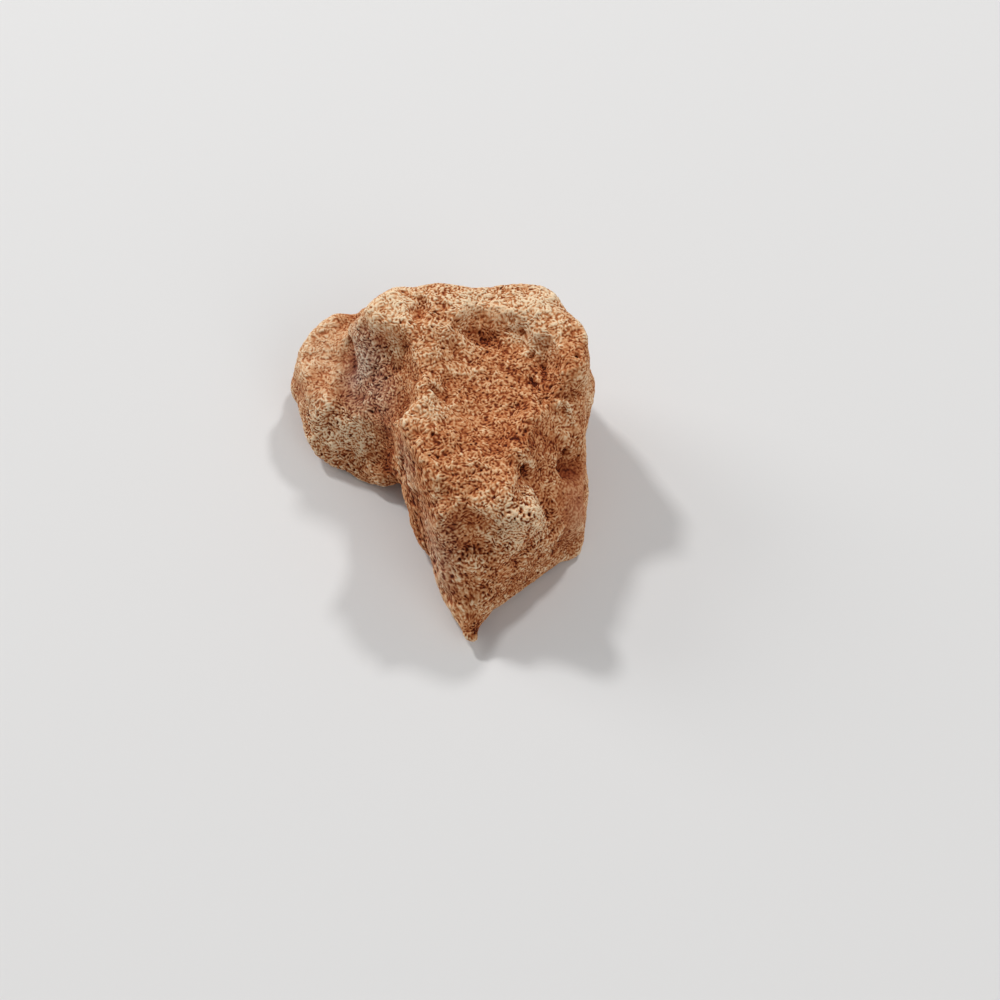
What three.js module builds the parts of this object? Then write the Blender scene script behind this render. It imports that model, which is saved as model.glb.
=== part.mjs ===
// A small broken stone: one angular fragment of a porous, weathered rock, lying on its widest face.
//
// The stone is one solid. Its form is written as a field, a function that is negative inside the stone and
// positive outside. Fracture walls bound a main block and a lower side lobe, lumps and a pointed toe are
// blended on, scoops and pits are blended out, and a roughness of a few octaves is laid over the result.
// A geodesic ball is then drawn tight on the field, which gives one closed mesh of even triangles.
//
// Millimetres. +Z is up and +Y runs from the pointed toe to the back. The origin is on the resting plane,
// under the middle of the stone.

import * as THREE from "three";
import { ImprovedNoise } from "three/addons/math/ImprovedNoise.js";
import { mergeVertices } from "three/addons/utils/BufferGeometryUtils.js";

// ---------- Driving dimensions ----------

const WIDTH = 32; // along X, from the side lobe to the right-hand wall
const LENGTH = 37; // along Y, from the toe to the back
const HEIGHT = 17; // along Z, from the resting face to the top
const RINGS = 19; // each face of the icosahedron is split into (RINGS + 1) squared triangles

// A place in the stone, as a share of the half width, of the half length and of the height. Sizes further
// down, such as radii and the widths over which edges are rounded, are shares of the height.
const at = (x, y, z) => new THREE.Vector3((x * WIDTH) / 2, (y * LENGTH) / 2, z * HEIGHT);

// ---------- Blends ----------

// The larger of two fields, with the corner between them rounded over `round`.
function larger(a, b, round) {
  const width = round * HEIGHT;
  const near = Math.max(width - Math.abs(a - b), 0) / width;
  return Math.max(a, b) + (near * near * width) / 4;
}

const smaller = (a, b, round) => -larger(-a, -b, round);

// ---------- Elementary forms, each a function from a point to a field value in millimetres ----------

const UP = new THREE.Vector3(0, 0, 1);

// The unit vector `turn` degrees round from +X and `rise` degrees above the level.
function direction(turn, rise) {
  const t = THREE.MathUtils.degToRad(turn);
  const r = THREE.MathUtils.degToRad(rise);
  return new THREE.Vector3(Math.cos(t) * Math.cos(r), Math.sin(t) * Math.cos(r), Math.sin(r));
}

// A flat fracture wall that faces `turn`, `rise` and passes through `through`.
function wall(turn, rise, through) {
  const normal = direction(turn, rise);
  const offset = normal.dot(through);
  return (p) => normal.dot(p) - offset;
}

// A convex block bounded by walls, with its edges rounded.
function block(walls, round) {
  return (p) => walls.map((side) => side(p)).reduce((a, b) => larger(a, b, round));
}

// An ellipsoid of the given half sizes, spun by `turn` degrees about Z.
function lump(centre, halves, turn = 0) {
  const [rx, ry, rz] = halves.map((half) => half * HEIGHT);
  const spin = -THREE.MathUtils.degToRad(turn);
  const q = new THREE.Vector3();
  return (p) => {
    q.copy(p).sub(centre).applyAxisAngle(UP, spin);
    const near = Math.hypot(q.x / rx, q.y / ry, q.z / rz);
    const steep = Math.hypot(q.x / (rx * rx), q.y / (ry * ry), q.z / (rz * rz));
    return steep < 1e-6 ? -Math.min(rx, ry, rz) : (near * (near - 1)) / steep;
  };
}

// A round rod from one place to another, whose radius changes evenly along it.
function taperedRod(from, to, fromRadius, toRadius) {
  const axis = to.clone().sub(from);
  const q = new THREE.Vector3();
  return (p) => {
    const along = THREE.MathUtils.clamp(q.copy(p).sub(from).dot(axis) / axis.lengthSq(), 0, 1);
    const radius = HEIGHT * THREE.MathUtils.lerp(fromRadius, toRadius, along);
    return q.addScaledVector(axis, -along).length() - radius;
  };
}

// ---------- The stone's forms ----------

const mainBlock = block(
  [
    wall(-90, 83.5, at(0.48, 0.7, 1.0)), // top, falling gently to the front
    wall(88, 66, at(0.3, 0.72, 1.0)), // brow along the back of the top
    wall(201.5, 3, at(-0.03, -0.5, 0.5)), // left wall, down to the toe
    wall(-50, 2, at(0.606, -0.654, 0.09)), // front wall, from the toe to the right corner
    wall(-52, 15, at(0.606, -0.654, 0.44)), // its upper half, which leans back
    wall(-65, 34, at(0.5, -0.648, 0.69)), // slope of the boss above it
    wall(-113, 39, at(0.25, -0.595, 0.75)), // upper slope above the toe
    wall(-97, 31, at(0.25, -0.811, 0.375)), // lower slope above the toe
    wall(-4, 5, at(0.975, 0.2, 0.6)), // right wall
    wall(-38, 21, at(0.915, -0.51, 0.07)), // right corner
    wall(90, 16, at(0.3, 0.84, 0.9)), // back wall
    wall(30, 10, at(0.858, 0.655, 0.853)), // bevel at the back right
    wall(48, 36, at(0.775, 0.695, 0.95)), // corner above it
    wall(140, 28, at(-0.35, 0.78, 0.88)), // bevel at the back left
    wall(-60, -40, at(0.5, -0.72, 0.06)), // undercut of the front wall
    wall(200, -36, at(-0.02, -0.5, 0.05)), // undercut of the left wall
    wall(14, -34, at(0.97, 0.1, 0.2)), // undercut of the right wall
    wall(90, -34, at(0.2, 0.84, 0.25)), // undercut of the back wall
  ],
  0.053,
);

const sideLobe = block(
  [
    wall(-95, 82, at(-0.7, 0.5, 0.475)), // top
    wall(-110, 22, at(-0.625, 0.162, 0.235)), // front
    wall(186, 10, at(-1.0, 0.65, 0.35)), // left end
    wall(215, 14, at(-0.869, 0.314, 0.21)), // bevel at the front left
    wall(245, 20, at(-0.712, 0.173, 0.09)), // second bevel at the front left
    wall(150, 18, at(-0.92, 0.83, 0.4)), // bevel at the back left
    wall(95, 6, at(-0.62, 1.0, 0.42)), // back
    wall(95, -36, at(-0.62, 0.98, 0.2)), // undercut of the back
    wall(-50, -35, at(-0.4, 0.038, 0.124)), // roof of the small cave beside the main block
    wall(180, -60, at(-0.8, 0.45, 0.05)), // underside
    wall(0, 0, at(0.1, 0, 0)), // end inside the main block
  ],
  0.094,
);

const toe = taperedRod(at(0.24, -0.8, 0.2), at(0.24, -1.03, 0.06), 0.112, 0.047);

// Lumps that stand on the blended body, with the width over which each is blended on.
const lumps = [
  { form: lump(at(-0.27, 0.44, 0.33), [0.247, 0.353, 0.353]), round: 0.094 }, // buttress behind the lobe
  { form: lump(at(-0.27, 0.65, 0.705), [0.224, 0.2, 0.224]), round: 0.07 }, // horn above the lobe
  { form: lump(at(0.44, -0.5, 0.62), [0.2, 0.2, 0.235]), round: 0.082 }, // boss at the front
  { form: lump(at(0.245, -0.73, 0.46), [0.082, 0.076, 0.088]), round: 0.047 }, // knot above the toe
  { form: lump(at(0.04, -0.01, 0.86), [0.141, 0.07, 0.076], -14), round: 0.059 }, // crest of the left wall
];

// Scoops taken out of the body, with the width over which each one's edge is rounded.
const scoops = [
  { form: lump(at(0.35, 0.12, 0.98), [0.353, 0.506, 0.147]), round: 0.059 }, // dish in the top
  { form: lump(at(0.3, 0.51, 0.985), [0.159, 0.124, 0.129]), round: 0.03 }, // scarp at the dish's back
  { form: lump(at(0.67, 0.16, 0.955), [0.106, 0.294, 0.112], -4), round: 0.041 }, // groove at the right rim
  { form: lump(at(-0.64, 0.162, 1.03), [0.53, 0.53, 0.53]), round: 0.065 }, // hollow above the lobe
  { form: lump(at(1.375, -0.486, 1.19), [0.882, 0.882, 0.882]), round: 0.065 }, // hollow in the right side
  { form: lump(at(0.87, -0.17, 0.57), [0.141, 0.082, 0.094], 20), round: 0.041 }, // its deepest place
  { form: lump(at(0.2, -0.69, 0.685), [0.165, 0.129, 0.106]), round: 0.059 }, // dent beside the boss
  { form: lump(at(-0.1, 0.61, 1.02), [0.065, 0.13, 0.076], -10), round: 0.03 }, // fold beside the horn
  { form: lump(at(0.555, -0.385, 0.85), [0.038, 0.038, 0.082]), round: 0.018 }, // pit behind the boss
  { form: lump(at(-0.57, 1.0, 0.57), [0.053, 0.141, 0.065]), round: 0.035 }, // cleft between lobe and back
];

const LOBE_ROUND = 0.094; // width over which the lobe runs into the main block
const TOE_ROUND = 0.059; // and the toe

// ---------- Roughness ----------

const noise = new ImprovedNoise();

// Octaves of the roughness: the length of its waves, how far they move the surface, and the place in the
// noise that each is taken from, all in millimetres.
const octaves = [
  { wave: 6.5, depth: 0.55, shift: 31.7 },
  { wave: 3.1, depth: 0.36, shift: 63.4 },
  { wave: 1.7, depth: 0.22, shift: 95.1 },
];

function roughness(p) {
  return octaves.reduce(
    (sum, { wave, depth, shift }) =>
      sum + depth * noise.noise(p.x / wave + shift, p.y / wave - shift, p.z / wave + shift),
    0,
  );
}

// ---------- The whole field ----------

function stone(p) {
  let field = smaller(mainBlock(p), sideLobe(p), LOBE_ROUND);
  field = smaller(field, toe(p), TOE_ROUND);
  for (const { form, round } of lumps) field = smaller(field, form(p), round);
  for (const { form, round } of scoops) field = larger(field, -form(p), round);
  return Math.max(field + roughness(p), -p.z); // the resting face is flat
}

// ---------- Drawing the ball tight on the field ----------

const STEP = 0.02; // for the field's slope
const MARCH = 0.3; // along each ray
const REACH = LENGTH; // start of each ray, outside the stone
const HEART = at(0.12, 0.1, 0.42); // centre of the rays
const ROUNDS = 40; // of evening out the points
const EVENING = 0.6; // share of the way that each point moves to its neighbours' middle in a round
const FARTHEST_MOVE = 0.6; // of a point, in one step towards the surface
const LEAST_SLOPE = 0.2; // squared, so that a step stays finite where the field is nearly level
const EDGE_PULL = 4; // how strongly edges draw the points beside them
const CORNER_PULL = 4; // how strongly the places farthest from the heart do

function slope(p) {
  const q = new THREE.Vector3();
  const value = (x, y, z) => stone(q.set(p.x + x, p.y + y, p.z + z));
  const change = (x, y, z) => (value(x, y, z) - value(-x, -y, -z)) / (2 * STEP);
  return new THREE.Vector3(change(STEP, 0, 0), change(0, STEP, 0), change(0, 0, STEP));
}

// Moves p onto the field's zero by a few Newton steps.
function settle(p, steps) {
  for (let i = 0; i < steps; i++) {
    const g = slope(p);
    const move = stone(p) / Math.max(g.lengthSq(), LEAST_SLOPE);
    p.addScaledVector(g, -THREE.MathUtils.clamp(move, -FARTHEST_MOVE, FARTHEST_MOVE));
  }
}

// The outermost point of the stone on the ray from the heart along `way`.
function outermost(way) {
  const p = new THREE.Vector3();
  let r = REACH;
  while (r > 0 && stone(p.copy(HEART).addScaledVector(way, r)) > 0) r -= MARCH;
  return p.copy(HEART).addScaledVector(way, r + MARCH / 2);
}

// For each point of an indexed geometry, the points that share an edge with it.
function neighboursIn(geometry) {
  const corners = geometry.index.array;
  const neighbours = Array.from({ length: geometry.getAttribute("position").count }, () => new Set());
  for (let i = 0; i < corners.length; i += 3) {
    const [a, b, c] = corners.subarray(i, i + 3);
    neighbours[a].add(b).add(c);
    neighbours[b].add(c).add(a);
    neighbours[c].add(a).add(b);
  }
  return neighbours;
}

// Slides the points along the surface towards their neighbours' middles. Neighbours round an edge, and those
// farther from the heart, pull harder, which keeps points on edges and in the toe.
function evenOut(points, neighbours) {
  const facing = points.map((p) => slope(p).normalize());
  const far = points.map((p) => p.distanceTo(HEART));
  const middles = points.map((_, i) => {
    const middle = new THREE.Vector3();
    let sum = 0;
    for (const n of neighbours[i]) {
      const turned = facing[n].distanceToSquared(facing[i]);
      const pull = (1 + EDGE_PULL * turned) * (far[n] / far[i]) ** CORNER_PULL;
      middle.addScaledVector(points[n], pull);
      sum += pull;
    }
    return middle.divideScalar(sum);
  });
  points.forEach((p, i) => {
    p.addScaledVector(middles[i].sub(p).projectOnPlane(facing[i]), EVENING);
    settle(p, 1);
  });
}

function drawnTight(rings) {
  const ball = new THREE.IcosahedronGeometry(1, rings);
  ball.deleteAttribute("normal");
  ball.deleteAttribute("uv");
  const geometry = mergeVertices(ball, 1e-4);
  const place = geometry.getAttribute("position");
  const points = Array.from({ length: place.count }, (_, i) =>
    outermost(new THREE.Vector3().fromBufferAttribute(place, i).normalize()),
  );
  const neighbours = neighboursIn(geometry);
  for (let round = 0; round < ROUNDS; round++) evenOut(points, neighbours);
  for (const p of points) settle(p, 5);
  points.forEach((p, i) => place.setXYZ(i, p.x, p.y, p.z));
  return geometry;
}

// ---------- The part ----------

const geometry = drawnTight(RINGS);
geometry.computeBoundingBox();
const middle = geometry.boundingBox.getCenter(new THREE.Vector3());
geometry.translate(-middle.x, -middle.y, -geometry.boundingBox.min.z);
geometry.computeVertexNormals();

const stoneMesh = new THREE.Mesh(
  geometry,
  new THREE.MeshStandardMaterial({ color: 0xae7650, roughness: 0.95, metalness: 0 }),
);
stoneMesh.name = "stone";

const part = new THREE.Group();
part.add(stoneMesh);

export default part;
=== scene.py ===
import math

import bmesh
import bpy
import numpy as np
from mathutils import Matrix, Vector
from mathutils.kdtree import KDTree


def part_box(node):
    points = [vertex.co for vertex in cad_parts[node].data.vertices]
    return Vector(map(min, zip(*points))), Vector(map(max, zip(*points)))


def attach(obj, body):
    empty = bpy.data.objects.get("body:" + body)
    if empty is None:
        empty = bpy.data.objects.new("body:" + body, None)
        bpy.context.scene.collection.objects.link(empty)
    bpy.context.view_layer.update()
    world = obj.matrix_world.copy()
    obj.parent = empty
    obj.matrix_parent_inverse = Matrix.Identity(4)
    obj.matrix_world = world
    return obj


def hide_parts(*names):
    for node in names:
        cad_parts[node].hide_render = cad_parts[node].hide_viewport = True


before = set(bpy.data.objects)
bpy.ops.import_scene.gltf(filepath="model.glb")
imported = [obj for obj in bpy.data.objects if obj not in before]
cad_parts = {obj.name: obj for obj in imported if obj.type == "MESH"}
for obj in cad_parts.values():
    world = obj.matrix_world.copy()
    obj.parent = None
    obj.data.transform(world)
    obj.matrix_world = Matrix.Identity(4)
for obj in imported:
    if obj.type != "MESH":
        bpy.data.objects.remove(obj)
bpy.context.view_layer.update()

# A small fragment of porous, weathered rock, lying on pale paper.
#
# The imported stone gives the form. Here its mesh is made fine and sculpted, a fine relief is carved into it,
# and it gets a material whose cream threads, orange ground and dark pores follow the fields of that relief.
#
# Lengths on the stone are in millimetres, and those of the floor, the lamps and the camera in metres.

LOW, HIGH = (Vector(corner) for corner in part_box("stone"))
MM = 0.001  # in metres


def at(x, y, z):
    """A place in the stone: x and y as shares of its half sizes, from the middle, and z of its height."""
    middle = (LOW + HIGH) / 2
    half = (HIGH - LOW) / 2
    place = Vector((middle.x + x * half.x, middle.y + y * half.y, LOW.z + z * 2 * half.z))
    return np.array(place) / MM


def new_object(name, data):
    """A new object in the scene."""
    thing = bpy.data.objects.new(name, data)
    bpy.context.scene.collection.objects.link(thing)
    return thing


# ---------- The mesh, made fine ----------

SUBDIVISIONS = 2  # of the CAD mesh, which give 192,000 triangles
SAME_PLACE = 0.001  # points nearer than this to each other are one


def applied(thing):
    """A new mesh of an object, with its modifiers applied."""
    scene_now = bpy.context.evaluated_depsgraph_get()
    return bpy.data.meshes.new_from_object(thing.evaluated_get(scene_now))


def fine_stone():
    """A finer, smoother copy of the CAD stone as a new object."""
    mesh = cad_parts["stone"].data.copy()
    mesh.materials.clear()
    shape = bmesh.new()
    shape.from_mesh(mesh)
    bmesh.ops.remove_doubles(shape, verts=shape.verts, dist=SAME_PLACE * MM)
    shape.to_mesh(mesh)
    shape.free()
    rough = new_object("rough", mesh)
    smooth = rough.modifiers.new("smooth", "SUBSURF")
    smooth.levels = SUBDIVISIONS
    smooth.render_levels = SUBDIVISIONS
    fine = applied(rough)
    bpy.data.objects.remove(rough)
    fine.name = "stone_skin"
    return new_object("stone_skin", fine)


def read(items, name, width, kind=np.float64):
    """A property of a mesh's points or edges, as an array with a row for each of them."""
    flat = np.empty(len(items) * width, dtype=kind)
    items.foreach_get(name, flat)
    return flat.reshape(-1, width)


def keep(mesh, name, values):
    """Stores one number or one vector for each point of the mesh."""
    kind = "FLOAT" if values.ndim == 1 else "FLOAT_VECTOR"
    field = "value" if values.ndim == 1 else "vector"
    layer = mesh.attributes.new(name, kind, "POINT")
    layer.data.foreach_set(field, values.astype(np.float32).ravel())


# ---------- Measures at the mesh's points ----------

TINY = 1e-9  # keeps a division from being by zero
FOOT = 0.5  # height over which relief fades in, above the flat underside
UNDERSIDE_TOP = 0.3  # below this, points belong to the underside or to the edge round it
UNDERSIDE_SLOPE = -0.9  # and those whose normals point down less than this belong to the edge


def smooth_step(x):
    x = np.clip(x, 0, 1)
    return x * x * (3 - 2 * x)


def off_paper(points):
    """0 on the paper, rising to 1 at FOOT above it."""
    return smooth_step(points[:, 2] / FOOT)


def near(points, place, reach, soft):
    """1 at a place, falling to 0 over the outer share `soft` of an ellipsoid of half sizes `reach`."""
    far = np.linalg.norm((points - place) / np.array(reach), axis=1)
    return smooth_step((1 - far) / soft)


def spread(points, places, soft=1):
    """What a list of places, their half sizes and their amounts adds up to at each point."""
    return sum(amount * near(points, at(*place), reach, soft) for place, reach, amount in places)


def off_line(points, start, end):
    """How far each point lies from the line between two places."""
    way = end - start
    share = np.clip((points - start) @ way / max(way @ way, TINY), 0, 1)
    return np.linalg.norm(points - start - share[:, None] * way, axis=1)


def rim_distance(points, normals):
    """How far each point lies from the edge round the flat underside."""
    rim = points[(points[:, 2] < UNDERSIDE_TOP) & (normals[:, 2] > UNDERSIDE_SLOPE)]
    tree = KDTree(len(rim))
    for index, place in enumerate(rim):
        tree.insert(place, index)
    tree.balance()
    return np.array([tree.find(place)[2] for place in points])


def blurred(values, edges, rounds):
    """Values at the mesh's points, each evened out with its neighbours' in every round."""
    ends = np.concatenate([edges[:, 0], edges[:, 1]])
    others = np.concatenate([edges[:, 1], edges[:, 0]])
    count = np.bincount(ends, minlength=len(values))
    columns = values.reshape(len(values), -1).T
    for _ in range(rounds):
        columns = [
            (c + np.bincount(ends, c[others], len(values)) / count) / 2 for c in columns
        ]
    return np.array(columns).T.reshape(values.shape)


def hollowness(points, normals, edges, rounds):
    """How far each point lies below the surface round it, and above it where negative."""
    return ((blurred(points, edges, rounds) - points) * normals).sum(axis=1)


# ---------- Node trees, for the relief and the material alike ----------

NOISE_ROUGHNESS = 0.6  # share that each finer octave of a noise has of the one before it
GABOR_GAIN = 1.5  # brings Gabor waves to about the spread of a noise


class Net:
    """Adds nodes to a shader tree or a geometry tree. A value is a socket or a constant."""

    def __init__(self, tree):
        self.tree = tree

    def plug(self, socket, value):
        if isinstance(value, bpy.types.NodeSocket):
            self.tree.links.new(value, socket)
        else:
            socket.default_value = value

    def node(self, kind, values=(), **settings):
        node = self.tree.nodes.new(kind)
        for name, setting in settings.items():
            setattr(node, name, setting)
        for key, value in dict(values).items():
            self.plug(node.inputs[key], value)
        return node

    def math(self, operation, *values, clamp=False):
        node = self.node("ShaderNodeMath", enumerate(values), operation=operation, use_clamp=clamp)
        return node.outputs[0]

    def vector(self, operation, a, b):
        return self.node("ShaderNodeVectorMath", {0: a, 1: b}, operation=operation).outputs[0]

    def along(self, vector, way):
        """How far a vector reaches along a way."""
        return self.node("ShaderNodeVectorMath", {0: vector, 1: way}, operation="DOT_PRODUCT").outputs[1]

    def scaled(self, vector, by):
        node = self.node("ShaderNodeVectorMath", {0: vector, "Scale": by}, operation="SCALE")
        return node.outputs[0]

    def plus(self, *terms):
        total = terms[0]
        for term in terms[1:]:
            total = self.math("ADD", total, term)
        return total

    def times(self, a, b):
        return self.math("MULTIPLY", a, b)

    def weighed(self, fields, weights):
        """The sum of the fields that `weights` names, each times its weight."""
        return self.plus(*(self.times(fields[name], weight) for name, weight in weights.items()))

    def centred(self, value):
        """A value that lies about 0.5, moved to lie about 0."""
        return self.math("SUBTRACT", value, 0.5)

    def inverse(self, value):
        return self.math("SUBTRACT", 1.0, value)

    def blend(self, share, a, b):
        """a where share is 0 and b where it is 1, for numbers."""
        return self.node("ShaderNodeMix", {0: share, 2: a, 3: b}).outputs[0]

    def blend_colours(self, share, a, b, kind="MIX"):
        """The same for colours. With the kind MULTIPLY, b tints a."""
        values = {0: share, 6: a, 7: b}
        return self.node("ShaderNodeMix", values, data_type="RGBA", blend_type=kind).outputs[2]

    def ramp(self, value, low, high):
        """0 below low and 1 above high, smooth between."""
        node = self.node(
            "ShaderNodeMapRange",
            {"Value": value, "From Min": low, "From Max": high},
            interpolation_type="SMOOTHSTEP",
        )
        return node.outputs[0]

    def colours(self, value, stops):
        """The colour that a value has on a scale of stops, each a value and a colour."""
        node = self.node("ShaderNodeValToRGB", {0: value})
        scale = node.color_ramp.elements
        while len(scale) < len(stops):
            scale.new(0.5)
        for element, (where, colour) in zip(scale, stops):
            element.position = where
            element.color = (*colour, 1)
        return node.outputs[0]

    def noise(self, place, size, detail=0.0, output="Fac"):
        values = {"Vector": place, "Scale": 1 / size, "Detail": detail, "Roughness": NOISE_ROUGHNESS}
        return self.node("ShaderNodeTexNoise", values).outputs[output]

    def gabor(self, place, size, waves):
        """Curling waves of about the same width everywhere, about 0.5."""
        values = {0: place, "Scale": 1 / (size * waves), "Frequency": waves, "Anisotropy": 0.0}
        value = self.node("ShaderNodeTexGabor", values, gabor_type="3D").outputs[0]
        return self.plus(0.5, self.times(self.centred(value), GABOR_GAIN))

    def cells(self, place, size, output="Distance"):
        values = {"Vector": place, "Scale": 1 / size}
        return self.node("ShaderNodeTexVoronoi", values).outputs[output]


# ---------- The fine relief ----------

STRAND_WAY = Vector((0.33, -0.84, -0.42)).normalized()  # of the strands on the left wall, down to the toe

SWIRL = 1.3  # size of the swirls that bend the threads
CURL_BEND = 0.6  # how far the swirls move curling threads, and the clumps and pores
STRAND_BEND = 0.4  # how far they move strands
STRAND_DRAW = -0.5  # drawn out to twice their length along STRAND_WAY

CURL = 0.32  # from one curling thread to the next
CURL_WAVES = 1.5  # of them across a cell of the Gabor noise
CURL_BREAK = 0.28  # size of the noise that breaks them up
CURL_SHARE = 0.65  # of the waves in the threads' field
BREAK_SHARE = 0.5  # of that noise in it
STRAND = 0.25  # from one strand to the next
STRAND_GAIN = 1.1
STRAND_SHIFT = -0.04  # which brings the strands' field to about 0.5

THREAD_SIDES = (0.28, 0.72)  # what the threads' field is at the foot of a thread and at its top
GAP_SIDES = (0.3, 0.45)  # the same at the bottom of a gap between threads and at its edge

CLUMP = 0.7  # size of clumps of threads
BROAD = 2.4  # size of broad waves
PORE = 0.85  # from one pore to the next
PORE_BOTTOM = 0.04  # radius of a pore's flat bottom, as a share of that
PORE_LEAST = 0.07  # radius of the smallest pores, likewise
PORE_MORE = 0.25  # what the largest pores have on top of that

# How far each field raises the surface.
RISES = {"threads": 0.08, "gaps": -0.06, "clumps": 0.18, "pores": -0.2, "broad": 0.35}


def curls(net, bent):
    """Threads that curl every way: waves of one width, broken up by a noise, about 0.5."""
    waves = net.gabor(bent, CURL, CURL_WAVES)
    breaks = net.noise(bent, CURL_BREAK)
    middle = (1 - CURL_SHARE - BREAK_SHARE) / 2
    return net.plus(net.times(waves, CURL_SHARE), net.times(breaks, BREAK_SHARE), middle)


def strands(net, place, bend):
    """Threads that lie along STRAND_WAY: a noise that is drawn out."""
    eased = net.vector("ADD", place, net.scaled(bend, STRAND_BEND))
    draw = net.times(net.along(place, STRAND_WAY), STRAND_DRAW)
    drawn_out = net.vector("ADD", eased, net.scaled(STRAND_WAY, draw))
    return net.plus(net.times(net.noise(drawn_out, STRAND), STRAND_GAIN), STRAND_SHIFT)


def pores_of(net, bent):
    """1 in pores of many sizes, 0 beside them."""
    reach = net.cells(bent, PORE)
    chance = net.node("ShaderNodeSeparateXYZ", {0: net.cells(bent, PORE, "Color")}).outputs[0]
    radius = net.plus(net.times(chance, PORE_MORE), PORE_LEAST)
    return net.inverse(net.ramp(reach, PORE_BOTTOM, radius))


def relief(net, place, drawn):
    """Fields of the fine relief at a place. `drawn` is the share of strands among the threads.

    Threads, gaps and pores go from 0 to 1, and clumps and broad waves lie about 0.
    """
    bend = net.vector("SUBTRACT", net.noise(place, SWIRL, output="Color"), (0.5, 0.5, 0.5))
    bent = net.vector("ADD", place, net.scaled(bend, CURL_BEND))
    lines = net.blend(drawn, curls(net, bent), strands(net, place, bend))
    return {
        "threads": net.ramp(lines, *THREAD_SIDES),
        "gaps": net.inverse(net.ramp(lines, *GAP_SIDES)),
        "clumps": net.centred(net.noise(bent, CLUMP, detail=1.0)),
        "pores": pores_of(net, bent),
        "broad": net.centred(net.noise(place, BROAD, detail=1.0)),
    }


def carve(skin):
    """Moves the skin's points by the fine relief, with Geometry Nodes, and applies the result."""
    tree = bpy.data.node_groups.new("relief", "GeometryNodeTree")
    tree.interface.new_socket("Geometry", in_out="INPUT", socket_type="NodeSocketGeometry")
    tree.interface.new_socket("Geometry", in_out="OUTPUT", socket_type="NodeSocketGeometry")
    net = Net(tree)
    given = net.node("NodeGroupInput")
    made = net.node("NodeGroupOutput")

    def stored(name, kind):
        return net.node("GeometryNodeInputNamedAttribute", {"Name": name}, data_type=kind).outputs[0]

    fields = relief(net, stored("rest", "FLOAT_VECTOR"), stored("drawn", "FLOAT"))
    up = net.times(net.times(net.weighed(fields, RISES), stored("rough", "FLOAT")), MM)
    offset = net.scaled(net.node("GeometryNodeInputNormal").outputs[0], up)
    move = net.node("GeometryNodeSetPosition", {"Geometry": given.outputs[0], "Offset": offset})
    tree.links.new(move.outputs[0], made.inputs[0])
    step = skin.modifiers.new("relief", "NODES")
    step.node_group = tree
    carved = applied(skin)
    plain = skin.data
    skin.modifiers.clear()
    skin.data = carved
    bpy.data.meshes.remove(plain)
    carved.name = skin.name


# ---------- The stone's form ----------

RIM_LIFT = 0.3  # of the edge round the underside, off the paper
RIM_WIDTH = 1.5  # over which it is lifted
CRISPNESS = 0.65  # of ridges and valleys, as a share of their height
CRISP_ROUNDS = 80  # of evening out, which give the surface that they are measured from

# Larger forms: the place, its half sizes and how far it is moved.
FORMS = [
    ((-0.40, 0.03, 0.06), (4.5, 4, 3.5), (0.6, -1.5, 0)),  # foot of the lobe, in the nook
    ((-0.80, 0.22, 0.08), (5, 4, 4), (-0.2, -0.5, 0)),  # foot of the lobe, in front
    ((-0.22, -0.13, 0.08), (4.5, 4, 3.5), (2.2, 0.3, 0)),  # foot of the left wall, in the nook
    ((-0.13, -0.34, 0.18), (4, 4.5, 4.5), (-0.7, 0, 0)),  # left wall, in front of that
    ((-0.34, 0.48, 0.93), (3.5, 3, 2.5), (-0.3, -0.9, 0.3)),  # front of the horn
    ((0.57, -0.60, 0.70), (4, 4, 4), (0.4, -0.3, 0.45)),  # boss
    ((0.17, -0.62, 0.62), (4, 3.5, 4), (-0.1, -0.6, 0.8)),  # dent beside it
    ((0.32, 0.51, 0.88), (4, 2.5, 2.5), (0, -0.3, 0.3)),  # arch
    ((0.96, 0.14, 0.37), (3, 3, 5), (-0.6, 0, 0)),  # right wall, above the hollow
    ((0.96, -0.24, 0.24), (3, 4, 5), (-0.7, 0, 0)),  # right wall, below it
    ((0.95, -0.44, 0.08), (4, 4.5, 4), (-0.8, -0.3, 0)),  # corner at the foot of the right wall
    ((0.67, -0.56, 0.42), (3.5, 3.5, 4), (0.3, -0.3, 0.1)),  # lower right of the boss
    ((0.30, -0.98, 0.12), (1.4, 2, 3), (-0.6, 0, 0)),  # tip of the toe, made narrower
]

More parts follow.
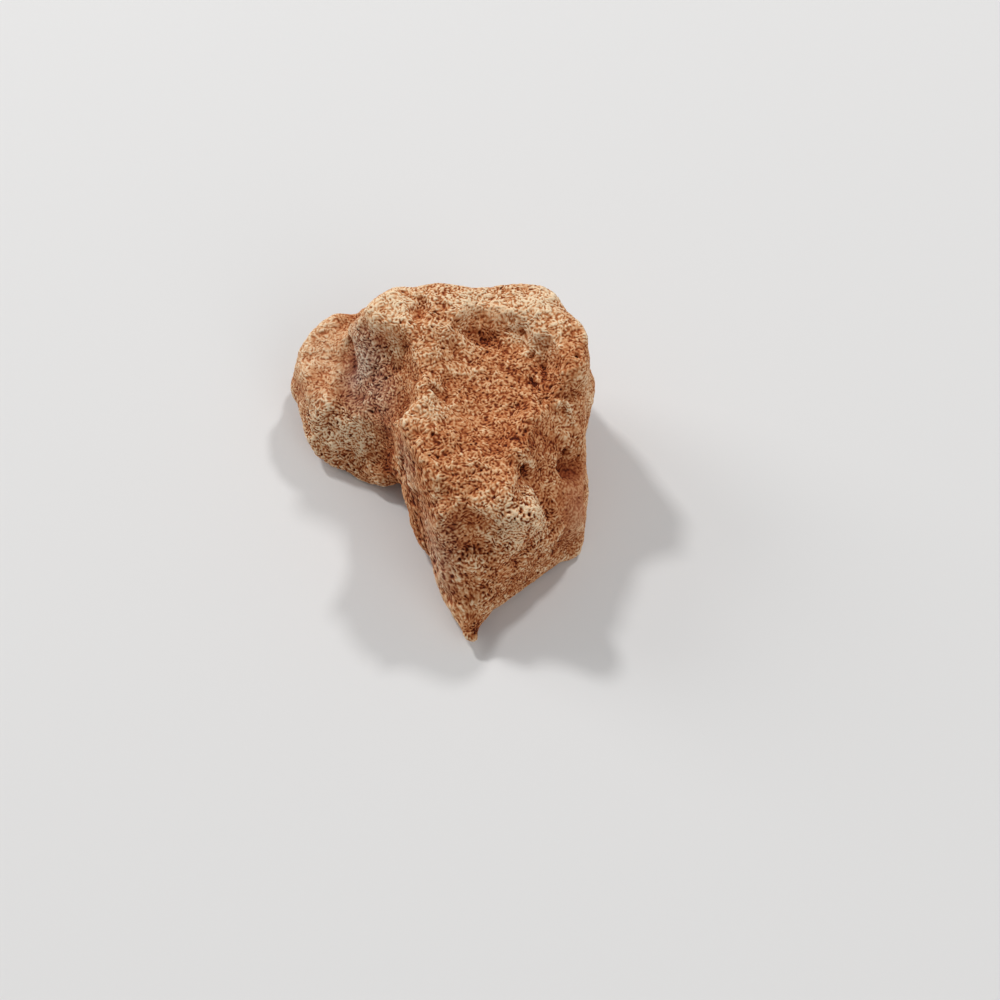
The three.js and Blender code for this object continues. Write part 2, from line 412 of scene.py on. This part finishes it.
# Pits and cracks, and ridges where the depth is below 0: both ends, the reach to each side and the depth.
PITS = [
    ((0.534, -0.358, 0.774), (0.534, -0.358, 0.774), 0.75, 1.3),  # above the boss
    ((-0.572, 0.799, 0.573), (-0.585, 0.630, 0.600), 0.9, 0.4),  # crease between the lobe and the horn
    ((-0.585, 0.630, 0.600), (-0.563, 0.500, 0.527), 0.9, 0.3),
    ((0.748, -0.02, 0.70), (0.752, -0.06, 0.66), 0.5, 0.6),  # above the hollow
    ((0.56, -0.38, 0.73), (0.71, -0.52, 0.42), 1.3, 0.45),  # valley to the right of the boss
    ((0.797, -0.136, 0.596), (0.797, -0.136, 0.596), 0.7, 0.6),  # in the right wall
    ((0.73, -0.28, 0.60), (0.91, -0.18, 0.44), 1.8, 0.15),  # hollow in the right wall
    ((-0.233, 0.054, 0.668), (-0.233, 0.054, 0.668), 0.7, 0.5),  # in the wall below the horn
    ((-0.202, -0.132, 0.512), (-0.202, -0.132, 0.512), 0.8, 0.6),  # in the left wall
    ((0.19, 0.47, 0.875), (0.22, 0.535, 0.90), 1.0, 0.15),  # left end of the arch
    ((0.448, 0.478, 0.895), (0.448, 0.478, 0.895), 0.5, 0.25),  # right end of the arch
    ((0.523, 0.460, 0.909), (0.548, 0.424, 0.892), 0.4, 0.2),  # beside that
    ((0.590, 0.327, 0.863), (0.590, 0.327, 0.863), 0.6, 0.4),  # in the dish
    ((0.862, 0.254, 0.948), (0.862, 0.254, 0.948), 0.4, 0.4),  # in the right rim
    ((0.641, 0.031, 0.839), (0.641, 0.031, 0.839), 0.4, 0.4),  # in the groove
    ((0.655, 0.27, 0.85), (0.66, 0.19, 0.85), 0.6, 0.4),  # top of the groove
    ((0.58, 0.20, 0.84), (0.68, 0.03, 0.80), 0.35, 0.4),  # crack along the groove
    ((0.733, 0.031, 0.803), (0.758, 0.052, 0.810), 0.35, -0.15),  # loop beside the groove
    ((0.758, 0.052, 0.810), (0.796, 0.059, 0.783), 0.35, -0.15),
    ((0.796, 0.059, 0.783), (0.814, 0.033, 0.754), 0.35, -0.15),
    ((0.526, -0.608, 0.751), (0.526, -0.608, 0.751), 0.4, 0.4),  # two on the boss
    ((0.537, -0.650, 0.731), (0.537, -0.650, 0.731), 0.4, 0.4),
    ((-0.190, 0.370, 0.898), (-0.21, 0.38, 0.86), 1.2, 0.2),  # recess beside the horn
    ((0.000, 0.050, 0.913), (0.08, 0.02, 0.88), 1.1, 0.4),  # behind the crest
    ((0.006, -0.395, 0.858), (0.047, -0.590, 0.711), 1.0, -0.12),  # edge of the left wall
    ((0.047, -0.590, 0.711), (0.131, -0.740, 0.477), 1.0, -0.12),
    ((0.131, -0.740, 0.477), (0.171, -0.835, 0.326), 1.0, -0.12),
]


def sculpted(points, normals, edges):
    """The points, moved to the stone's form."""
    lift = RIM_LIFT * smooth_step(1 - rim_distance(points, normals) / RIM_WIDTH)
    points = points + lift[:, None] * np.array((0, 0, 1))
    for place, reach, move in FORMS:
        points = points + near(points, at(*place), reach, 1)[:, None] * np.array(move)
    for start, end, reach, depth in PITS:
        share = smooth_step(1 - off_line(points, at(*start), at(*end)) / reach)
        points = points - normals * (share * depth)[:, None]
    crisp = CRISPNESS * off_paper(points) * hollowness(points, normals, edges, CRISP_ROUNDS)
    return points - normals * crisp[:, None]


# ---------- The places of its colours and textures ----------

# Places that are lighter or darker than the rest: the place, its half sizes, and how much lighter. Some of
# them paint shade and light, as marked below.
TONES = [
    # horn and back rim: partly their creamier colour, partly painted light on faces turned up to the lamps
    ((-0.30, 0.58, 0.97), (6.5, 6, 4), 0.30),  # horn
    ((0.30, 0.64, 0.98), (13, 4, 3.5), 0.20),  # back rim
    ((0.24, 0.62, 0.95), (4, 2.5, 2.5), 0.20),  # two places on the back rim
    ((0.43, 0.70, 0.99), (4, 2, 3), -0.16),
    ((0.72, 0.52, 0.98), (5, 6, 4), 0.18),  # right end of the back rim
    ((0.84, 0.27, 0.95), (3, 3.5, 3), -0.10),  # right rim
    ((0.96, 0.10, 0.86), (2.2, 5, 4), 0.20),  # top of the right wall
    ((0.96, 0.24, 0.60), (2.2, 4, 4), 0.20),
    ((0.34, 0.55, 0.91), (4, 2, 2.2), 0.18),  # arch
    ((0.53, 0.46, 0.91), (3.2, 3, 2.5), 0.40),  # right of the arch
    ((0.12, 0.38, 0.89), (6, 4, 3), 0.07),  # dish, at the left
    ((0.64, 0.34, 0.88), (3.5, 3, 2.5), 0.22),  # dish, at the right
    ((0.00, 0.22, 0.88), (4, 4, 3), 0.08),  # dish, beside the crest
    ((0.38, 0.25, 0.83), (5, 3, 3), -0.06),  # dish
    # painted shade in the recess beside the horn
    ((-0.19, 0.37, 0.88), (2, 2.5, 2), -0.12),  # recess beside the horn
    # painted shade in the groove
    ((0.60, 0.15, 0.85), (3, 5, 4), -0.12),  # groove
    ((-0.75, 0.60, 0.48), (6.5, 8, 5), 0.22),  # lobe, on top
    ((-0.69, 0.20, 0.25), (5, 4, 4), 0.25),  # lobe, in front
    # painted shade on the wall below the horn, where its shadow falls
    ((-0.32, 0.19, 0.60), (2.5, 3.5, 3.5), -0.16),  # wall below the horn
    ((-0.46, 0.12, 0.36), (3, 3, 3.5), 0.24),  # lobe, beside the nook
    ((-0.60, 0.18, 0.30), (3, 3, 3), 0.10),  # lobe, in front
    ((-0.12, -0.38, 0.42), (4.5, 11, 9), -0.17),  # left wall
    ((0.06, -0.80, 0.30), (3, 4, 4), -0.10),  # left wall, beside the toe
    # painted shade in the nook between the lobe and the left wall
    ((-0.30, -0.03, 0.27), (3, 3, 3.5), -0.25),  # nook
    ((-0.05, -0.10, 0.92), (5.5, 3.5, 3.5), 0.22),  # crest
    ((0.12, -0.27, 0.87), (4, 3, 3), -0.12),  # slope below it
    ((0.78, 0.03, 0.77), (2.2, 2.2, 2.2), 0.14),  # loop beside the groove
    ((0.65, -0.13, 0.78), (3.5, 4, 4), -0.06),  # slope, beside the right wall
    ((0.50, -0.27, 0.82), (3, 2.2, 3), -0.20),  # slope, above the boss
    ((-0.62, 0.76, 0.53), (3, 4, 3), 0.14),  # lobe, beside the horn
    ((-0.28, 0.44, 0.81), (2.5, 2.5, 2.5), 0.30),  # below the face of the horn
    ((-0.45, 0.62, 0.85), (3, 3, 3), 0.10),  # side of the horn
    ((0.39, -0.67, 0.66), (2.8, 2.5, 3.5), 0.20),  # beside the boss
    ((0.65, -0.56, 0.46), (2.8, 2.8, 3.5), 0.18),  # below the boss
    # painted shade in the valley to the right of the boss
    ((0.79, -0.46, 0.32), (2.2, 2.2, 3), -0.08),  # valley to the right of it
    ((0.14, 0.47, 0.90), (3, 2.5, 2.5), 0.16),  # left of the arch
    ((-0.50, 0.10, 0.20), (3.5, 3, 3.5), 0.12),  # foot of the lobe
    ((-0.21, -0.11, 0.56), (2.5, 3, 4), -0.20),  # left wall, at the top
    ((0.06, -0.66, 0.55), (2.5, 3, 3), -0.12),  # edge of the left wall
    ((0.38, -0.53, 0.86), (3, 2.5, 3), -0.12),  # behind the boss
    ((0.54, -0.60, 0.72), (6, 5, 5), 0.24),  # boss
    ((0.36, -0.68, 0.62), (2.5, 2.5, 3), 0.12),  # left of it
    ((0.16, -0.60, 0.62), (3.5, 3.5, 4), -0.04),  # dent
    ((0.45, -0.75, 0.35), (6, 5, 6), 0.06),  # front
    ((0.21, -0.76, 0.51), (1.8, 1.8, 1.8), -0.12),  # knot above the toe
    ((0.19, -0.86, 0.28), (3.5, 3.5, 4), 0.03),  # toe
    # painted shade at the tip, where it comes down to the paper
    ((0.24, -0.99, 0.12), (2, 2, 2.5), -0.40),  # its tip
    # painted shade in the pit above the boss and round it
    ((0.53, -0.36, 0.76), (1.2, 1.2, 1.5), -0.5),  # pit above the boss
    ((0.58, -0.28, 0.80), (2, 2, 2), -0.12),  # round that pit
    # painted shade in the hollow in the right wall
    ((0.84, -0.18, 0.50), (3.2, 2, 3), -0.08),  # hollow in the right wall
    ((0.82, -0.36, 0.46), (4, 4, 4), -0.13),  # right wall
    # painted shade at the foot of the valley
    ((0.78, -0.50, 0.22), (3, 3, 2.5), -0.10),  # foot of the valley
]

# Places under a thin grey film: the place, its half sizes, and how much of it there is.
FILM = [
    ((-0.50, 0.42, 0.68), (4.2, 7, 6), 0.8),  # side of the horn
    ((-0.36, 0.22, 0.60), (3.5, 6, 5), 0.4),  # wall below the horn
    ((-0.52, 0.40, 0.50), (3, 6, 3), 0.5),  # lobe, beside the horn
    ((-0.17, -0.20, 0.60), (3.5, 5, 6), 0.35),  # left wall, at the top
    ((0.00, -0.65, 0.42), (4, 8, 8), 0.5),  # left wall, down to the toe
    ((-0.80, 0.55, 0.40), (8, 10, 8), 0.2),  # lobe
    ((0.90, -0.36, 0.40), (4, 6, 6), 0.25),  # right wall
]

# Places that are smoother and plainer, or rougher where the number is below 0: the place, its half sizes,
# and how much so.
CALM = [
    ((0.86, -0.36, 0.44), (3.4, 4.5, 4.2), 0.75),  # right wall
    ((0.82, -0.15, 0.48), (2.5, 2, 2.5), 0.5),  # hollow in the right wall
    ((-0.75, 0.60, 0.48), (6, 8, 6), 0.35),  # lobe
    ((0.18, -0.60, 0.62), (2.5, 2.5, 3), 0.5),  # dent
    ((0.48, -0.70, 0.50), (9, 7, 9), -0.6),  # front
    ((0.57, -0.62, 0.62), (5, 4.5, 5), -1.0),  # boss
    ((-0.21, -0.11, 0.56), (3, 4, 5), -0.2),  # left wall, at the top
    ((-0.08, -0.40, 0.40), (6, 12, 12), -0.1),  # left wall
    ((0.30, 0.60, 0.93), (14, 5, 4.5), -0.35),  # back rim
    ((-0.45, 0.40, 0.70), (4, 5, 5), -0.5),  # side of the horn
    ((-0.69, 0.20, 0.25), (6, 5, 5), -0.6),  # lobe, in front
]

# Places that are redder and plainer: the place, its half sizes, and how much so.
RUSTY = [
    ((-0.11, 0.53, 0.95), (1.8, 2.0, 1.5), 0.8),  # fold beside the horn
    ((0.34, 0.55, 0.91), (5, 2.5, 2.5), 1.2),  # arch
    ((-0.10, -0.20, 0.90), (2, 2, 2), 0.7),  # crest
    ((0.15, -0.10, 0.85), (2.5, 2, 2), 0.7),  # slope below it
    ((0.42, -0.73, 0.36), (2.5, 2, 2.5), 0.5),  # front, above its foot
    ((0.48, -0.66, 0.50), (9, 8, 9), 0.6),  # front
    ((0.66, -0.12, 0.78), (4, 4, 4), 0.5),  # slope, beside the right wall
    ((0.86, -0.32, 0.40), (3, 4, 4), 0.5),  # right wall
    ((0.84, 0.20, 0.93), (3.5, 5.5, 3), 0.6),  # right rim
]

CALM_EDGE = 0.5  # the share of its size over which a calm place fades out
CALM_RELIEF = 0.75  # how much of the relief a wholly calm place loses

# Where threads are drawn out to strands: the place, its half sizes, and how much so.
LEFT_WALL = ((-0.05, -0.45, 0.4), (9, 14, 16), 1)
TOE = ((0.14, -0.85, 0.3), (2.8, 4.5, 5), 0.6)
DRAWN_EDGE = 0.5  # the share of their size over which they fade out
LEFT_FACING = (0.3, 0.7)  # how far left a normal points, from none of the wall to all of it

WIDE_ROUNDS = 240  # of evening out, against which wide hollows are measured
FINE_ROUNDS = 24  # the same for small ones


def drawn_share(points, normals):
    """The share of strands among the threads, on the left wall and on the toe."""
    least, most = LEFT_FACING
    facing_left = smooth_step((-normals[:, 0] - least) / (most - least))
    left_wall = facing_left * spread(points, [LEFT_WALL], DRAWN_EDGE)
    return np.maximum(left_wall, spread(points, [TOE], DRAWN_EDGE))


def store_fields(mesh, points, normals, edges):
    """Stores what the relief and the material read from the mesh."""
    calm = spread(points, CALM, CALM_EDGE)
    for name, values in {
        "rest": points,
        # wide and fine measure hollows, which the material paints darker as painted shade
        "wide": hollowness(points, normals, edges, WIDE_ROUNDS),
        "fine": hollowness(points, normals, edges, FINE_ROUNDS),
        "drawn": drawn_share(points, normals),
        "calm": calm,
        "film": spread(points, FILM),
        "tone": spread(points, TONES),
        "rust": spread(points, RUSTY),
        "rough": (1 - CALM_RELIEF * calm) * off_paper(points),
    }.items():
        keep(mesh, name, values)


def make_stone():
    skin = fine_stone()
    mesh = skin.data
    edges = read(mesh.edges, "vertices", 2, np.int64)
    normals = read(mesh.vertices, "normal", 3)
    points = sculpted(read(mesh.vertices, "co", 3) / MM, normals, edges)
    mesh.vertices.foreach_set("co", (points * MM).ravel())
    mesh.update()
    store_fields(mesh, points, normals, edges)
    carve(skin)
    for face in skin.data.polygons:
        face.use_smooth = True
    skin.data.materials.append(stone_material())
    return skin


# ---------- Its material ----------

# How light the stone is, on the scale of its colours: in the middle, by each field of the fine relief, and by
# patches and the fields stored on the mesh. Through "wide" and "fine" the hollows are painted darker as
# painted shade, and the parts that stand out are painted lighter.
MIDDLE_LIGHT = 0.56
# pores and gaps: painted shade, darker in pores and in the gaps between threads
FINE_LIGHT = {"threads": 0.44, "gaps": -0.12, "clumps": 0.55, "pores": -0.55, "grain": 0.45, "broad": 0.4}
# wide and fine: painted shade, darker in hollows and lighter where the surface stands out
WIDE_LIGHT = {"patches": 0.45, "wide": -0.08, "fine": -1.0, "rust": -0.03, "tone": 1.0}
PLAINNESS = {"calm": 0.6, "rust": 0.3, "tone": 0.4}  # how much each weakens the fine light and the bumps

COLOURS = [
    # painted shade: pores and hollows reach this dark end of the scale
    (0.0, (0.07, 0.008, 0.002)),  # bottom of a pore
    (0.25, (0.24, 0.044, 0.009)),
    (0.5, (0.46, 0.153, 0.049)),  # orange ground
    (0.75, (0.69, 0.37, 0.182)),
    (1.0, (0.88, 0.68, 0.455)),  # cream thread
]
RUST_TINT = (1, 0.9, 0.82, 1)
GREY = {"Saturation": 0.68, "Value": 0.88}  # of the film, as shares of the colour below it
FILM_SIDES = (0.1, 0.6)  # of the patches, from bare stone to the whole film

GRAIN = 0.22  # size of the finest grain
GRAIN_RISE = 0.06
PATCH = 5.0  # size of the patches
BUMP = 0.6  # strength of the bumps, which add to the carved relief
ROUGHNESS = 0.85
SPECULAR = 0.15


def stone_material():
    """Matte stone, whose colours and bumps follow the fields of the relief."""
    material = bpy.data.materials.new("stone")
    material.use_nodes = True
    shader = material.node_tree.nodes["Principled BSDF"]
    shader.inputs["Roughness"].default_value = ROUGHNESS
    shader.inputs["Specular IOR Level"].default_value = SPECULAR
    net = Net(material.node_tree)

    def stored(name, output="Fac"):
        return net.node("ShaderNodeAttribute", attribute_name=name).outputs[output]

    place = stored("rest", "Vector")
    on_mesh = {name: stored(name) for name in ("drawn", "wide", "fine", "calm", "film", "tone", "rust")}
    fields = relief(net, place, on_mesh["drawn"])
    grain = net.noise(place, GRAIN, detail=2.0)
    patches = net.noise(place, PATCH, detail=3.0)
    contrast = net.inverse(net.weighed(on_mesh, PLAINNESS))

    fine = fields | {"threads": net.centred(fields["threads"]), "grain": net.centred(grain)}
    wide = on_mesh | {"patches": net.centred(patches)}
    fine_light = net.times(net.weighed(fine, FINE_LIGHT), contrast)
    light = net.plus(MIDDLE_LIGHT, fine_light, net.weighed(wide, WIDE_LIGHT))

    bare = net.blend_colours(on_mesh["rust"], net.colours(light, COLOURS), RUST_TINT, "MULTIPLY")
    grey = net.node("ShaderNodeHueSaturation", GREY | {"Color": bare}).outputs[0]
    film = net.math("MULTIPLY", on_mesh["film"], net.ramp(patches, *FILM_SIDES), clamp=True)
    net.plug(shader.inputs["Base Color"], net.blend_colours(film, bare, grey))

    rise = net.plus(net.weighed(fields, RISES), net.times(grain, GRAIN_RISE))
    values = {"Height": net.times(rise, contrast), "Distance": MM, "Strength": BUMP}
    net.plug(shader.inputs["Normal"], net.node("ShaderNodeBump", values).outputs[0])
    return material


# ---------- Floor, light and camera, in metres ----------

FLOOR_SIZE = 1.6
PAPER = (0.74, 0.735, 0.73, 1)
PAPER_ROUGHNESS = 0.9

# Lamps: the way to each from the stone, its size and its watts.
LAMPS = {
    "back_right": ((0.47, 0.76, 1), 0.13, 4.5),
    "back_left": ((-0.63, 0.72, 1), 0.13, 5.4),
    "low_left": ((-1.73, 1.06, 1), 0.6, 3.6),
    "front_right": ((0.9, -1.1, 1), 0.8, 2.8),
}
LAMP_DISTANCE = 1.2
SKY_STRENGTH = 0.29

CAMERA_LENS = 50
CAMERA_ELEVATION = math.radians(55)
CAMERA_DISTANCE = 0.1389
CAMERA_TARGET = at(0.392, -0.3615, 0.4654) * MM
CAMERA_NEAR = 0.001


def make_floor():
    bpy.ops.mesh.primitive_plane_add(size=FLOOR_SIZE)
    floor = bpy.context.object
    floor.name = "floor"
    paper = bpy.data.materials.new("paper")
    paper.use_nodes = True
    shader = paper.node_tree.nodes["Principled BSDF"]
    shader.inputs["Base Color"].default_value = PAPER
    shader.inputs["Roughness"].default_value = PAPER_ROUGHNESS
    floor.data.materials.append(paper)


def make_lamp(name, way, size, watts):
    """A round lamp that shines on the stone from `way`."""
    data = bpy.data.lights.new(name, "AREA")
    data.shape = "DISK"
    data.size = size
    data.energy = watts
    lamp = new_object(name, data)
    towards = Vector(way).normalized()
    lamp.location = towards * LAMP_DISTANCE
    lamp.rotation_euler = towards.to_track_quat("Z", "Y").to_euler()


def make_light():
    for name, (way, size, watts) in LAMPS.items():
        make_lamp(name, way, size, watts)
    world = bpy.data.worlds.new("room")
    world.use_nodes = True
    sky = world.node_tree.nodes["Background"]
    sky.inputs["Color"].default_value = (1, 1, 1, 1)
    sky.inputs["Strength"].default_value = SKY_STRENGTH
    bpy.context.scene.world = world


def make_camera():
    """Looks down at the stone from the front."""
    data = bpy.data.cameras.new("camera")
    data.lens = CAMERA_LENS
    data.clip_start = CAMERA_NEAR
    camera = new_object("camera", data)
    back = Vector((0, -math.cos(CAMERA_ELEVATION), math.sin(CAMERA_ELEVATION)))
    camera.location = Vector(CAMERA_TARGET) + back * CAMERA_DISTANCE
    camera.rotation_euler = back.to_track_quat("Z", "Y").to_euler()
    bpy.context.scene.camera = camera


make_camera()
make_light()
make_floor()
stone = make_stone()
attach(stone, "root")
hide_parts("stone")
bpy.context.scene.view_settings.view_transform = "Standard"
